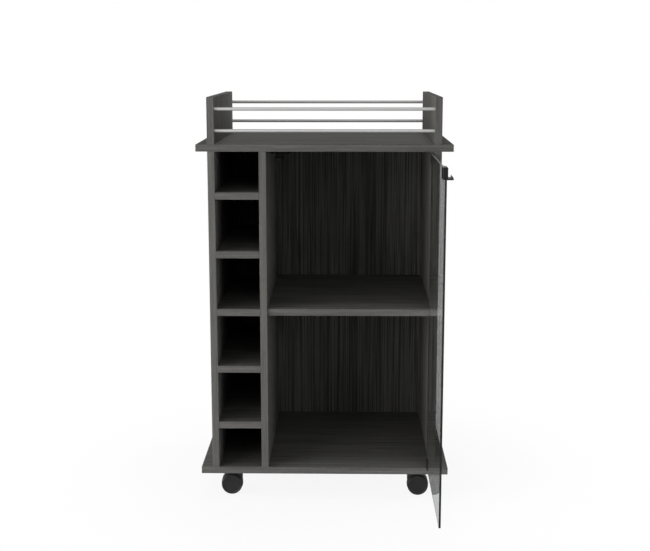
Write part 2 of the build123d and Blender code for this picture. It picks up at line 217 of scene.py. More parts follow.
class ShaderTree(NodeTree):
    """The nodes of one material."""

    def __init__(self, name: str) -> None:
        """Makes an empty material.

        Args:
            name: Name of the material.
        """
        self.material = bpy.data.materials.new(name)
        self.material.use_nodes = True
        super().__init__(self.material.node_tree)
        self.tree.nodes.clear()
        self.place = self.node("ShaderNodeTexCoord").outputs["Object"]

    def axes(self) -> List[Signal]:
        """Object coordinates as three signals."""
        parts = self.node("ShaderNodeSeparateXYZ", None, {"Vector": self.place})
        return [Signal(self, socket) for socket in parts.outputs]

    def mapped(self, scale: Sequence[float], shift: Sequence[float] = (0, 0, 0)) -> bpy.types.NodeSocket:
        """Object coordinates, stretched and shifted."""
        inputs = {"Vector": self.place, "Location": shift, "Scale": scale}
        return self.node("ShaderNodeMapping", None, inputs).outputs["Vector"]

    def noise(self, vector: object, scale: float = 1.0, detail: float = 2.0, rough: float = 0.5) -> Signal:
        """Fractal noise between 0 and 1.

        Args:
            vector: Socket that places the pattern.
            scale: Cells per unit of the vector.
            detail: Octaves.
            rough: Share of each finer octave.

        Returns:
            The noise value.
        """
        inputs = {"Vector": vector, "Scale": scale, "Detail": detail, "Roughness": rough}
        return Signal(self, self.node("ShaderNodeTexNoise", None, inputs).outputs[0])

    def mix(self, share: Number, first: object, second: object) -> Signal:
        """Blends two colours, which are inputs 6 and 7 and output 2 of the node."""
        inputs = {0: share, 6: self.rgba(first), 7: self.rgba(second)}
        return Signal(self, self.node("ShaderNodeMix", {"data_type": "RGBA"}, inputs).outputs[2])

    def turn(self, share: Number, first: object, second: object) -> bpy.types.NodeSocket:
        """Blends two vectors, which are inputs 4 and 5 and output 1 of the node."""
        inputs = {0: share, 4: first, 5: second}
        return self.node("ShaderNodeMix", {"data_type": "VECTOR"}, inputs).outputs[1]

    def nudged(self, vector: object, offset: Signal) -> bpy.types.NodeSocket:
        """A vector moved by the same offset along each axis."""
        return self.node("ShaderNodeVectorMath", {"operation": "ADD"}, {0: vector, 1: offset}).outputs[0]

    @staticmethod
    def rgba(colour: object) -> object:
        """A plain colour with its alpha; a signal passes as it is."""
        return (*colour, 1.0) if isinstance(colour, tuple) else colour

    def bump(self, height: Signal, strength: float, distance: float) -> bpy.types.NodeSocket:
        """Normal from a height in units of distance."""
        inputs = {"Height": height, "Strength": strength, "Distance": distance}
        return self.node("ShaderNodeBump", None, inputs).outputs["Normal"]

    def surface(self, inputs: Mapping[Key, object]) -> bpy.types.Material:
        """Ends the tree in one Principled shader.

        Args:
            inputs: Values and signals of the shader's sockets.

        Returns:
            The finished material.
        """
        shader = self.node("ShaderNodeBsdfPrincipled", None, inputs)
        self.node("ShaderNodeOutputMaterial", None, {"Surface": shader.outputs[0]})
        return self.material


# Finishes


class Grain(Enum):
    """The axis that a board's grain, or a metal's draw marks, follow."""

    ALONG_X = 0
    ALONG_Y = 1
    ALONG_Z = 2

    def scale(self, along: float, across: float) -> Triple:
        """Scale of a pattern with that many cells per metre along this axis and across it."""
        return tuple(along if i == self.value else across for i in range(3))


@dataclass(frozen=True)
class OakLaminate:
    """Dark grey oak-grain melamine, with banded ends and lightly rubbed edges.

    A pattern has a width across the grain and a length along it, and a share is a pattern's weight.
    """

    light: Colour = (0.176, 0.173, 0.165)
    dark: Colour = (0.060, 0.059, 0.056)
    pore: Colour = (0.030, 0.029, 0.028)
    rubbed: Colour = (0.230, 0.226, 0.215)
    band_width: float = 13 * MM
    band_length: float = 520 * MM
    band_share: float = 0.25
    streak_width: float = 2.6 * MM
    streak_length: float = 150 * MM
    streak_share: float = 0.50
    hair_width: float = 1.0 * MM
    hair_length: float = 55 * MM
    hair_share: float = 0.25
    pore_width: float = 0.55 * MM
    pore_length: float = 11 * MM
    pore_step: Step = (0.56, 0.70)
    pore_share: float = 0.6
    pore_fade: float = 0.6
    fine_rough: float = 0.55
    waver_width: float = 70 * MM
    waver_length: float = 380 * MM
    waver: float = 7 * MM
    tone_step: Step = (0.33, 0.67)
    contrast: float = 1.0
    front_contrast: float = 0.45
    end_step: Step = (0.65 * MM, 0.52 * MM)
    scuff_scale: float = 90.0
    scuff_step: Step = (0.45, 0.75)
    rubbed_step: Step = (2.2 * MM, 0.2 * MM)
    rubbed_share: float = 0.35
    seam_inner_step: Step = (1.1 * MM, 0.7 * MM)
    seam_outer_step: Step = (0.35 * MM, 0.6 * MM)
    seam_share: float = 0.22
    roughness: float = 0.55
    hair_roughness: float = 0.10
    pore_roughness: float = 0.08
    rubbed_polish: float = 0.10
    specular: float = 0.05
    hair_relief: float = 0.4
    pore_relief: float = 0.6
    relief_strength: float = 0.35
    relief: float = 0.12 * MM
    shift_steps: Triple = (0.31, 0.73, 0.57)
    shift_span: float = 17.0

    def material(
        self, name: str, low: Vector, high: Vector, grain: Grain, end_grain: Grain
    ) -> bpy.types.Material:
        """The finish of one board.

        Args:
            name: Name of the board.
            low: Lowest corner of the board.
            high: Highest corner of the board.
            grain: Axis of the grain on the faces.
            end_grain: Axis of the grain on the bands that close the two ends.

        Returns:
            A material fitted to that board.
        """
        tree = ShaderTree(f"{name}_laminate")
        seed = sum(ord(letter) * (i + 1) for i, letter in enumerate(name))
        shift = tuple((seed * step) % self.shift_span for step in self.shift_steps)
        middle, half = (low + high) / 2, (high - low) / 2
        axes = tree.axes()
        inside = [half[i] - abs(axis - middle[i]) for i, axis in enumerate(axes)]
        on_end = inside[grain.value].rise(*self.end_step)
        waver_scale = grain.scale(1 / self.waver_length, 1 / self.waver_width)
        waver = (tree.noise(tree.mapped(waver_scale, shift)) - 0.5) * self.waver

        def pattern(width: float, length: float, rough: float = 0.5) -> Signal:
            """Noise drawn out along the wavering grain, turned on the end bands.

            Args:
                width: Size of the pattern across the grain.
                length: Size of the pattern along the grain.
                rough: Share of each finer octave.

            Returns:
                The noise value.
            """
            faces = tree.mapped(grain.scale(1 / length, 1 / width), shift)
            ends = tree.mapped(end_grain.scale(1 / length, 1 / width), shift)
            return tree.noise(tree.nudged(tree.turn(on_end, faces, ends), waver / width), rough=rough)

        bands = pattern(self.band_width, self.band_length)
        streaks = pattern(self.streak_width, self.streak_length)
        hairs = pattern(self.hair_width, self.hair_length, self.fine_rough)
        pores = pattern(self.pore_width, self.pore_length, self.fine_rough).rise(*self.pore_step)
        # The front face has a grain contrast of its own; the back panel's stronger one is partly painted
        # shading of the grain's relief under raking light.
        on_front = (axes[1] - low.y).rise(*self.end_step)
        contrast = self.contrast + on_front * (self.front_contrast - self.contrast)
        grained = bands * self.band_share + streaks * self.streak_share + hairs * self.hair_share - 0.5
        tone = (grained * contrast + 0.5).rise(*self.tone_step)
        # The middle one of the three depths is the distance to the nearest edge
        x_in, y_in, z_in = inside
        to_edge = x_in.least(y_in).most(x_in.most(y_in).least(z_in))
        scuffs = tree.noise(tree.place, self.scuff_scale, detail=3.0, rough=0.65)
        rubbed = to_edge.rise(*self.rubbed_step) * scuffs.rise(*self.scuff_step)
        seam = to_edge.rise(*self.seam_inner_step) * to_edge.rise(*self.seam_outer_step)
        colour = tree.mix(tone, self.dark, self.light)
        colour = tree.mix(pores * (1 - tone * self.pore_fade) * self.pore_share, colour, self.pore)
        colour = tree.mix(seam * self.seam_share, colour, self.pore)
        colour = tree.mix(rubbed * self.rubbed_share, colour, self.rubbed)
        roughness = self.roughness + self.hair_roughness * hairs + self.pore_roughness * pores
        height = hairs * self.hair_relief - pores * self.pore_relief
        return tree.surface({
            "Base Color": colour,
            "Roughness": roughness - self.rubbed_polish * rubbed,
            "Specular IOR Level": self.specular,
            "Normal": tree.bump(height, self.relief_strength, self.relief),
        })


@dataclass(frozen=True)
class Metal:
    """Bare or plated metal with fine draw marks along one axis and faint blotches."""

    name: str
    colour: Colour
    stained: Colour
    roughness: float
    marking: float = 1.0
    drawn: Grain = Grain.ALONG_X
    marks_along: float = 40.0
    marks_across: float = 4200.0
    mark_roughness: float = 0.12
    mark_strength: float = 0.12
    mark_depth: float = 0.03 * MM
    blotch_scale: float = 130.0
    blotch_step: Step = (0.35, 0.75)
    blotch_share: float = 0.6
    blotch_roughness: float = 0.14

    def material(self) -> bpy.types.Material:
        """The metal's finish.

        Returns:
            A new material.
        """
        tree = ShaderTree(self.name)
        marks = tree.noise(tree.mapped(self.drawn.scale(self.marks_along, self.marks_across)), rough=0.6)
        blotches = tree.noise(tree.place, self.blotch_scale, detail=3.0, rough=0.6)
        stains = blotches.rise(*self.blotch_step) * self.blotch_share
        uneven = self.mark_roughness * (marks - 0.5) + self.blotch_roughness * (blotches - 0.5)
        return tree.surface({
            "Base Color": tree.mix(stains, self.colour, self.stained),
            "Metallic": 1.0,
            "Roughness": self.roughness + uneven * self.marking,
            "Normal": tree.bump(marks, self.mark_strength * self.marking, self.mark_depth),
        })


@dataclass(frozen=True)
class Moulded:
    """Moulded, coated or plain surface with a fine spark texture, flow shading and polished patches."""

    name: str
    colour: Colour
    pale: Colour
    roughness: float
    texture: float = 0.35 * MM
    depth: float = 0.02 * MM
    specular: float = 0.35
    texture_strength: float = 0.4
    spark_step: Step = (0.5, 0.8)
    spark_share: float = 0.2
    spark_roughness: float = 0.12
    flow_scale: Triple = (60.0, 60.0, 25.0)
    flow_step: Step = (0.35, 0.8)
    flow_share: float = 0.5
    flow_roughness: float = 0.14

    def material(self) -> bpy.types.Material:
        """The surface's finish."""
        tree = ShaderTree(self.name)
        return tree.surface(self.sockets(tree, self.spark(tree)))

    def spark(self, tree: ShaderTree) -> Signal:
        """The fine texture."""
        return tree.noise(tree.place, 1 / self.texture, rough=0.55)

    def sockets(self, tree: ShaderTree, spark: Signal) -> Dict[Key, object]:
        """Shader sockets from the texture and the flow of the material.

        Args:
            tree: Tree of the material.
            spark: Its fine texture.

        Returns:
            Values and signals by socket name.
        """
        flow = tree.noise(tree.mapped(self.flow_scale), detail=3.0, rough=0.55)
        paler = flow.rise(*self.flow_step) * self.flow_share + spark.rise(*self.spark_step) * self.spark_share
        uneven = self.spark_roughness * (spark - 0.5) + self.flow_roughness * (flow - 0.5)
        return {
            "Base Color": tree.mix(paler, self.colour, self.pale),
            "Roughness": self.roughness + uneven,
            "Specular IOR Level": self.specular,
            "Normal": tree.bump(spark, self.texture_strength, self.depth),
        }


@dataclass(frozen=True)
class WheelNylon(Moulded):
    """Moulded nylon of a wheel: faint turned rings round its axle and a scuffed tread."""

    flow_scale: Triple = (60.0, 60.0, 60.0)
    ring_pitch: float = 0.9 * MM
    ring_relief: float = 0.5
    spark_relief: float = 0.6
    tread_depth: Step = (0.5 * MM, 0.1 * MM)
    scuffed: Colour = (0.085, 0.083, 0.080)
    scuff_scale: float = 420.0
    scuff_step: Step = (0.42, 0.72)
    scuff_share: float = 0.5

    def wheel(self, name: str, low: Vector, high: Vector) -> bpy.types.Material:
        """The finish of one wheel.

        Args:
            name: Name of the wheel.
            low: Lowest corner of the wheel.
            high: Highest corner of the wheel.

        Returns:
            A material centred on that wheel's axle.
        """
        tree = ShaderTree(f"{name}_nylon")
        middle = (low + high) / 2
        x, _, z = tree.axes()
        radius = ((x - middle.x) ** 2 + (z - middle.z) ** 2) ** 0.5
        rings = (radius * (math.tau / self.ring_pitch)).sine() * 0.5 + 0.5
        tread = radius.rise(*(high.z - middle.z - depth for depth in self.tread_depth))
        scuffs = tree.noise(tree.place, self.scuff_scale, detail=3.0, rough=0.7).rise(*self.scuff_step)
        spark = self.spark(tree)
        sockets = self.sockets(tree, spark)
        height = spark * self.spark_relief + rings * (1 - tread) * self.ring_relief
        worn = tread * scuffs * self.scuff_share
        sockets["Base Color"] = tree.mix(worn, sockets["Base Color"], self.scuffed)
        sockets["Normal"] = tree.bump(height, self.texture_strength, self.depth)
        return tree.surface(sockets)


@dataclass(frozen=True)
class ClearGlass:
    """Clear float glass with faint finger haze."""

    tint: Colour = (0.98, 0.99, 0.985)
    ior: float = 1.5
    haze: float = 0.03
    smear_scale: Triple = (9.0, 9.0, 22.0)
    smear_step: Step = (0.5, 0.85)

    def material(self) -> bpy.types.Material:
        """The pane's finish.

        Returns:
            A new material.
        """
        tree = ShaderTree("float_glass")
        smear = tree.noise(tree.mapped(self.smear_scale), detail=4.0, rough=0.6)
        return tree.surface({
            "Base Color": tree.rgba(self.tint),
            "Roughness": smear.rise(*self.smear_step) * self.haze,
            "IOR": self.ior,
            "Transmission Weight": 1.0,
        })


@dataclass(frozen=True)
class GlassEdge:
    """Opaque edge of the glass, grey-green with ground marks; its lit copy on the level edges is painted pale
    as a painted glow, its shaded copy on the upright edges near black as painted shade.
    """

    name: str
    colour: Colour
    pale: Colour
    roughness: float = 0.07
    grind_scale: Triple = (900.0, 160.0, 160.0)
    grind_step: Step = (0.4, 0.8)
    grind_roughness: float = 0.06
    grind_strength: float = 0.15
    grind_depth: float = 0.03 * MM

    def material(self) -> bpy.types.Material:
        """The edge's finish.

        Returns:
            A new material.
        """
        tree = ShaderTree(self.name)
        grind = tree.noise(tree.mapped(self.grind_scale), detail=3.0, rough=0.6)
        return tree.surface({
            "Base Color": tree.mix(grind.rise(*self.grind_step), self.colour, self.pale),
            "Roughness": self.roughness + self.grind_roughness * (grind - 0.5),
            "Normal": tree.bump(grind, self.grind_strength, self.grind_depth),
        })


LAMINATE = OakLaminate()
# Back panel: finer grain; its darker light and dark tones are painted shade deep in the compartments, and its
# stronger contrast on the front face is partly painted shading of the grain's relief under raking light.
BACK_LAMINATE = OakLaminate(
    light=(0.160, 0.157, 0.150), dark=(0.045, 0.044, 0.042), band_width=4 * MM, streak_width=1.2 * MM,
    streak_length=360 * MM, hair_width=0.8 * MM, hair_length=110 * MM, waver=1.5 * MM, front_contrast=2.4,
)
PLAIN_LAMINATE = OakLaminate(contrast=0.5, specular=0.0)
# Painted light on the glass edges: the level edges are painted pale as a painted glow of light caught from
# above, the upright edges near black as painted shade.
SHADED_UPRIGHT_EDGE = GlassEdge("shaded_upright_glass_edge", (0.008, 0.011, 0.010), (0.024, 0.030, 0.028))
LIT_LEVEL_EDGE = GlassEdge("lit_level_glass_edge", (0.24, 0.27, 0.26), (0.33, 0.36, 0.345))
SATIN_RAIL = Metal("satin_rail", (0.68, 0.68, 0.67), (0.65, 0.65, 0.65), 0.6, marking=0.1)
ZINC = Metal("zinc_plate", (0.62, 0.62, 0.60), (0.48, 0.48, 0.47), 0.36)
BEECH = Moulded("beech_dowel", (0.50, 0.35, 0.21), (0.62, 0.46, 0.30), 0.6, texture=0.8 * MM)
BLACK_COAT = Moulded(
    "black_coat", (0.003, 0.003, 0.003), (0.006, 0.006, 0.006), 0.18,
    texture=0.25 * MM, depth=0.004 * MM, specular=0.5,
)
BLACK_NYLON = Moulded("black_nylon", (0.017, 0.017, 0.017), (0.026, 0.026, 0.026), 0.46)
WHEEL_NYLON = WheelNylon("wheel_nylon", (0.017, 0.017, 0.017), (0.026, 0.026, 0.026), 0.46)
# Near-black with almost no sheen: the catch's own black plastic, darkened further as painted shade where the
# catch sits in the shade under the top board.
MATT_BLACK_AND_SHADE = Moulded("matt_black_and_shade", (0.0015, 0.0015, 0.0015), (0.003, 0.003, 0.003), 0.6, specular=0.02)
LINER_RUBBER = Moulded(
    "liner_rubber", (0.012, 0.012, 0.012), (0.020, 0.020, 0.020), 0.75, texture=0.2 * MM
)
FERRITE = Moulded(
    "ferrite", (0.004, 0.004, 0.0045), (0.008, 0.008, 0.008), 0.65, texture=0.3 * MM, specular=0.03
)


# Pieces


class Body(Enum):
    """The rigid bodies that pieces ride on, apart from the casters' own."""

    CABINET = "cabinet"
    DOOR = "door"


def new_piece(
    name: str, mesh: bpy.types.Mesh, body: str, replaced: Sequence[str]
) -> bpy.types.Object:
    """Puts a finished mesh into the scene as a piece.

    Args:
        name: Name of the piece.
        mesh: Mesh with its place in its vertices.
        body: Body that it rides on.
        replaced: CAD nodes that it stands for.

    Returns:
        The piece's object.
    """
    piece = bpy.data.objects.new(name, mesh)
    bpy.context.scene.collection.objects.link(piece)
    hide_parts(*replaced)
    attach(piece, body)
    LOG.info("%s: %d faces on %s", name, len(mesh.polygons), body)
    return piece


def dress(node: str, material: bpy.types.Material) -> None:
    """Gives a CAD node its finish.

    Args:
        node: CAD node that keeps its shape.
        material: Finish.
    """
    shape = frame["nodes"][node]
    shape.data.materials.clear()
    shape.data.materials.append(material)
    LOG.info("%s: dressed in %s", node, material.name)


def welded(node: str) -> bmesh.types.BMesh:
    """A copy of a CAD node's mesh with its loose triangles joined.

    Args:
        node: CAD node that is copied.

    Returns:
        The mesh, to be freed by the caller.
    """
    work = bmesh.new()
    work.from_mesh(frame["nodes"][node].data)
    bmesh.ops.remove_doubles(work, verts=work.verts, dist=JOIN_DISTANCE)
    return work


def softened(
    node: str, name: str, body: str, material: bpy.types.Material, ease: float
) -> bpy.types.Object:
    """A copy of a CAD node with eased edges and smooth curved faces, in the node's place.

    Args:
        node: CAD node that is copied and replaced.
        name: Name of the piece.
        body: Body that it rides on.
        material: Finish.
        ease: Width of the eased edges.

    Returns:
        The piece's object.
    """
    work = welded(node)
    bmesh.ops.dissolve_limit(work, angle_limit=FLAT_ANGLE, verts=work.verts, edges=work.edges)
    mesh = bpy.data.meshes.new(name)
    work.to_mesh(mesh)
    work.free()
    mesh.materials.clear()
    mesh.materials.append(material)
    mesh.shade_smooth()
    mesh.set_sharp_from_angle(angle=SHARP_ANGLE)
    piece = new_piece(name, mesh, body, [node])
    bevel = piece.modifiers.new("eased_edges", "BEVEL")
    bevel.width = ease
    bevel.segments = EASE_SEGMENTS
    bevel.limit_method = "ANGLE"
    bevel.angle_limit = EASE_ANGLE
    bevel.harden_normals = True
    return piece


def solids_of(node: str) -> List[Tuple[Vector, Vector]]:
    """Finds the separate solids in a CAD node.

    Args:
        node: CAD node.

    Returns:
        Lowest and highest corner of each solid, in the order of their places.
    """
    work = welded(node)
    left, found = set(work.verts), []
    while left:
        island, front = set(), [left.pop()]
        while front:
            vertex = front.pop()
            island.add(vertex)
            near = {edge.other_vert(vertex) for edge in vertex.link_edges} & left
            left -= near
            front.extend(near)
        corners = [[vertex.co[i] for vertex in island] for i in range(3)]
        found.append((Vector(min(c) for c in corners), Vector(max(c) for c in corners)))
    work.free()
    return sorted(found, key=lambda box: tuple(box[0]))


# Fasteners and rails, set out by Geometry Nodes


class GeometryTree(NodeTree):
    """A Geometry Nodes tree with named inputs, run once to give a plain mesh."""

    def __init__(self, name: str, sizes: Sequence[str], material: bpy.types.Material) -> None:
        """Makes the tree with one float input for each size.

        Args:
            name: Name of the tree.
            sizes: Names of the inputs.
            material: Finish that the tree ends in.
        """
        group = bpy.data.node_groups.new(name, "GeometryNodeTree")
        super().__init__(group)
        self.material = material
        face = group.interface
        face.new_socket("Points", in_out="INPUT", socket_type="NodeSocketGeometry")
        kinds = {size: "NodeSocketFloat" for size in sizes}
        kinds.update({"Direction": "NodeSocketVector", "Seed": "NodeSocketInt"})
        self.ids = {}
        for label, kind in kinds.items():
            self.ids[label] = face.new_socket(label, in_out="INPUT", socket_type=kind).identifier
        face.new_socket("Mesh", in_out="OUTPUT", socket_type="NodeSocketGeometry")
        self.given = self.node("NodeGroupInput").outputs

    def size(self, name: str) -> Signal:
        """One of the inputs as a signal."""
        return Signal(self, self.given[name])

    def close(self, shape: object) -> None:
        """Sets the shape on every point, turned to the direction, and ends the tree.

        Args:
            shape: Shape that points along its own Z axis.
        """
        aim = self.node(
            "FunctionNodeAlignRotationToVector", {"axis": "Z"}, {"Vector": self.given["Direction"]}
        )
        # Sockets 2 and 3 are the limits of a random number, and output 1 is that number
        limits = {2: 0.0, 3: math.tau, "Seed": self.given["Seed"]}
        spin = self.node("FunctionNodeRandomValue", {"data_type": "FLOAT"}, limits).outputs[1]
        angle = self.node("FunctionNodeAxisAngleToRotation", None, {"Axis": (0, 0, 1), "Angle": spin})
        turned = self.node(
            "FunctionNodeRotateRotation",
            {"rotation_space": "LOCAL"},
            {"Rotation": aim.outputs[0], "Rotate By": angle.outputs[0]},
        )
        inputs = {"Points": self.given["Points"], "Instance": shape, "Rotation": turned.outputs[0]}
        set_out = self.node("GeometryNodeInstanceOnPoints", None, inputs)
        real = self.node("GeometryNodeRealizeInstances", None, {"Geometry": set_out.outputs[0]})
        finish = {"Geometry": real.outputs[0], "Material": self.material}
        dressed = self.node("GeometryNodeSetMaterial", None, finish)
        self.node("NodeGroupOutput", None, {0: dressed.outputs[0]})

    def run(self, name: str, points: Sequence[Vector], values: Mapping[str, object]) -> bpy.types.Mesh:
        """Runs the tree on some points.

        Args:
            name: Name of the mesh.
            points: Places that get the shape.
            values: Values of the inputs by name.

        Returns:
            A plain mesh, with no modifier left.
        """
        seeds = bpy.data.meshes.new(f"{name}_points")
        seeds.from_pydata([tuple(point) for point in points], [], [])
        host = bpy.data.objects.new(f"{name}_points", seeds)
        bpy.context.scene.collection.objects.link(host)
        modifier = host.modifiers.new("set_out", "NODES")
        modifier.node_group = self.tree
        for key, value in values.items():
            modifier[self.ids[key]] = value
        ready = host.evaluated_get(bpy.context.evaluated_depsgraph_get())
        mesh = bpy.data.meshes.new_from_object(ready)
        bpy.data.objects.remove(host)
        bpy.data.meshes.remove(seeds)
        mesh.name = name
        return mesh


class Recess(Enum):
    """The drive in a fastener's head."""

    CROSS = "cross"
    HEX = "hex"
    NONE = "none"


@dataclass(frozen=True)
class FastenerForm:
    """Form of a screw or nail; its radii are shares of its largest radius."""

    drive: Recess
    head_depth: float
    face_share: float
    rim_share: float
    foot_share: float
    shank_share: float
    drive_share: float = 0.5
    drive_depth: float = 1.4 * MM


CARCASS_SCREW = FastenerForm(
    Recess.HEX, 4 * MM, face_share=1.0, rim_share=0.1, foot_share=0.7, shank_share=0.7,
    drive_share=0.46, drive_depth=2.4 * MM,
)
PANEL_NAIL = FastenerForm(
    Recess.NONE, 1.3 * MM, face_share=0.94, rim_share=0.2, foot_share=0.42, shank_share=0.41
)
SET_SCREW = FastenerForm(
    Recess.HEX, 0.9 * MM, face_share=0.9, rim_share=0.3, foot_share=1.0, shank_share=0.98,
    drive_depth=1.2 * MM,
)
CATCH_SCREW = FastenerForm(
    Recess.CROSS, 1.8 * MM, face_share=0.62, rim_share=0.62, foot_share=1.0, shank_share=0.53,
    drive_share=0.62, drive_depth=1.2 * MM,
)
PLATE_SCREW = FastenerForm(
    Recess.CROSS, 2 * MM, face_share=0.6, rim_share=0.65, foot_share=1.0, shank_share=0.48,
    drive_share=0.6, drive_depth=1.3 * MM,
)


class FastenerTree(GeometryTree):
    """Screws and nails: a head with its drive, over a plain shank, pointing along the direction."""

    SIZES = ("Face Radius", "Rim Radius", "Foot Radius", "Rim Depth", "Head Depth", "Shank Radius", "Length",
             "Recess Width", "Recess Depth")
    ROUND_SIDES = 28
    SHANK_TAPER = 0.9
    HEX_SIDES = 6
    CROSS_ARM = 0.24

    def __init__(self, name: str, material: bpy.types.Material, recess: Recess) -> None:
        """Builds the tree for one kind of drive.

        Args:
            name: Name of the tree.
            material: Finish of the fastener.
            recess: Its drive.
        """
        super().__init__(name, self.SIZES, material)
        rim, head, shaft = self.size("Rim Depth"), self.size("Head Depth"), self.size("Shank Radius")
        crown = self.tapered(self.size("Face Radius"), self.size("Rim Radius"), 0.0, rim)
        neck = self.tapered(self.size("Rim Radius"), self.size("Foot Radius"), rim, head - rim)
        shank = self.tapered(shaft, shaft * self.SHANK_TAPER, head, self.size("Length") - head)
        whole = self.boolean("UNION", {"Mesh 2": [crown, neck, shank]})
        cutters = self.cutters(recess)
        if cutters:
            whole = self.boolean("DIFFERENCE", {"Mesh 1": whole, "Mesh 2": cutters})
        self.close(whole)

    def tapered(self, foot: Number, top: Number, start: Number, length: Number) -> bpy.types.NodeSocket:
        """A round length between two radii.

        Args:
            foot: Radius at its start.
            top: Radius at its end.
            start: Height of its start.
            length: Its length.

        Returns:
            The mesh socket.
        """
        inputs = {"Vertices": self.ROUND_SIDES, "Radius Bottom": foot, "Radius Top": top, "Depth": length}
        cone = self.node("GeometryNodeMeshCone", {"fill_type": "NGON"}, inputs).outputs["Mesh"]
        lift = self.node("ShaderNodeCombineXYZ", None, {"Z": start}).outputs[0]
        return self.node("GeometryNodeTransform", None, {"Geometry": cone, "Translation": lift}).outputs[0]

    def boolean(self, operation: str, shapes: Mapping[Key, object]) -> bpy.types.NodeSocket:
        """Joins shapes to one shell, or cuts one out of another."""
        settings = {"operation": operation, "solver": "EXACT"}
        return self.node("GeometryNodeMeshBoolean", settings, shapes).outputs[0]

    def cutters(self, recess: Recess) -> List[bpy.types.NodeSocket]:
        """The shapes that a drive takes out of the head.

        Args:
            recess: Kind of drive.

        Returns:
            Their meshes; none for a plain head.
        """
        width, depth = self.size("Recess Width"), self.size("Recess Depth") * 2
        if recess is Recess.HEX:
            inputs = {"Vertices": self.HEX_SIDES, "Radius": width / 2, "Depth": depth}
            return [self.node("GeometryNodeMeshCylinder", {"fill_type": "NGON"}, inputs).outputs["Mesh"]]
        if recess is Recess.CROSS:
            arm = width * self.CROSS_ARM
            bars = ({0: width, 1: arm, 2: depth}, {0: arm, 1: width, 2: depth})
            sizes = [self.node("ShaderNodeCombineXYZ", None, bar).outputs[0] for bar in bars]
            return [self.node("GeometryNodeMeshCube", None, {"Size": size}).outputs["Mesh"] for size in sizes]
        return []


@dataclass
class Fastener:
    """One node of equal fasteners, set where the CAD has them."""

    node: str
    body: Body
    direction: Tuple[int, int, int]
    form: FastenerForm
    finish: Union[Metal, Moulded] = ZINC
    slot: str = "zinc_steel"

    def build(self) -> bpy.types.Object:
        """Makes the node's fasteners.

        Returns:
            The piece that replaces the node.
        """
        boxes = solids_of(self.node)
        axis = max(range(3), key=lambda i: abs(self.direction[i]))
        extent = boxes[0][1] - boxes[0][0]
        radius = extent[(axis + 1) % 3] / 2
        starts = []
        for low, high in boxes:
            start = (low + high) / 2
            start[axis] = low[axis] if self.direction[axis] > 0 else high[axis]
            starts.append(start)
        form = self.form
        tree = FastenerTree(f"{self.node}_tree", self.finish.material(), form.drive)
        mesh = tree.run(self.node, starts, {
            "Face Radius": radius * form.face_share,
            "Rim Radius": radius,
            "Foot Radius": radius * form.foot_share,
            "Rim Depth": form.head_depth * form.rim_share,
            "Head Depth": form.head_depth,
            "Shank Radius": radius * form.shank_share,
            "Length": extent[axis],
            "Recess Width": radius * 2 * form.drive_share,
            "Recess Depth": form.drive_depth,
            "Direction": self.direction,
            "Seed": len(starts),
        })
        return new_piece(f"{self.node}_set", mesh, self.body.value, [self.node])


class RailTree(GeometryTree):
    """Guard rails: a circle swept along a straight line from every point."""

    RING_SIDES = 40

    def __init__(self, material: bpy.types.Material) -> None:
        """Builds the tree.

        Args:
            material: Finish of the rails.
        """
        super().__init__("guard_rail_tree", ("Rail Radius", "Rail Length"), material)
        end = self.node("ShaderNodeCombineXYZ", None, {"Z": self.size("Rail Length")}).outputs[0]
        line = self.node("GeometryNodeCurvePrimitiveLine", None, {"Start": (0, 0, 0), "End": end}).outputs[0]
        round_section = {"Resolution": self.RING_SIDES, "Radius": self.size("Rail Radius")}
        ring = self.node("GeometryNodeCurvePrimitiveCircle", None, round_section).outputs[0]
        sweep = {"Curve": line, "Profile Curve": ring, "Fill Caps": True}
        swept = self.node("GeometryNodeCurveToMesh", None, sweep).outputs[0]
        self.close(self.node("GeometryNodeSetShadeSmooth", None, {"Geometry": swept}).outputs[0])


# Sub-assemblies


@dataclass
class Carcass:
    """The boards, their hidden joints and the thin back."""

    level: Tuple[str, ...] = ("base_board", "top_board", "main_shelf", "cubby_shelf_1", "cubby_shelf_2",
                              "cubby_shelf_3", "cubby_shelf_4", "cubby_shelf_5")
    upright: Tuple[str, ...] = ("left_side_panel", "right_side_panel", "divider_panel", "back_panel",
                                "left_rail_end", "right_rail_end")
    plain: Tuple[str, ...] = ("base_board", "top_board", "left_rail_end", "right_rail_end")
    back: str = "back_panel"

    def build(self) -> None:
        """Dresses every board along its own grain, and what is inside the joints."""
        runs = [(node, Grain.ALONG_X) for node in self.level]
        runs += [(node, Grain.ALONG_Z) for node in self.upright]
        for node, grain in runs:
            dress(node, self.finish(node).material(node, *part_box(node), grain, Grain.ALONG_Y))
        dress("shelf_dowels", BEECH.material())
        dress("top_cam_bolts", ZINC.material())

    def finish(self, node: str) -> OakLaminate:
        """The laminate of one board.

        Args:
            node: The board.

        Returns:
            Its finish; the back, whose darker tones are painted shade, and the plainer boards have their own.
        """
        if node == self.back:
            return BACK_LAMINATE
        return PLAIN_LAMINATE if node in self.plain else LAMINATE

    def fasten(self) -> None:
        """Sets the screws and nails, and dresses the cams."""
        up, forward = (0, 0, 1), (0, -1, 0)
        for node in ("base_screws", "rail_end_screws"):
            Fastener(node, Body.CABINET, up, CARCASS_SCREW).build()
        Fastener("back_panel_nails", Body.CABINET, forward, PANEL_NAIL).build()
        dress("top_cams", ZINC.material())


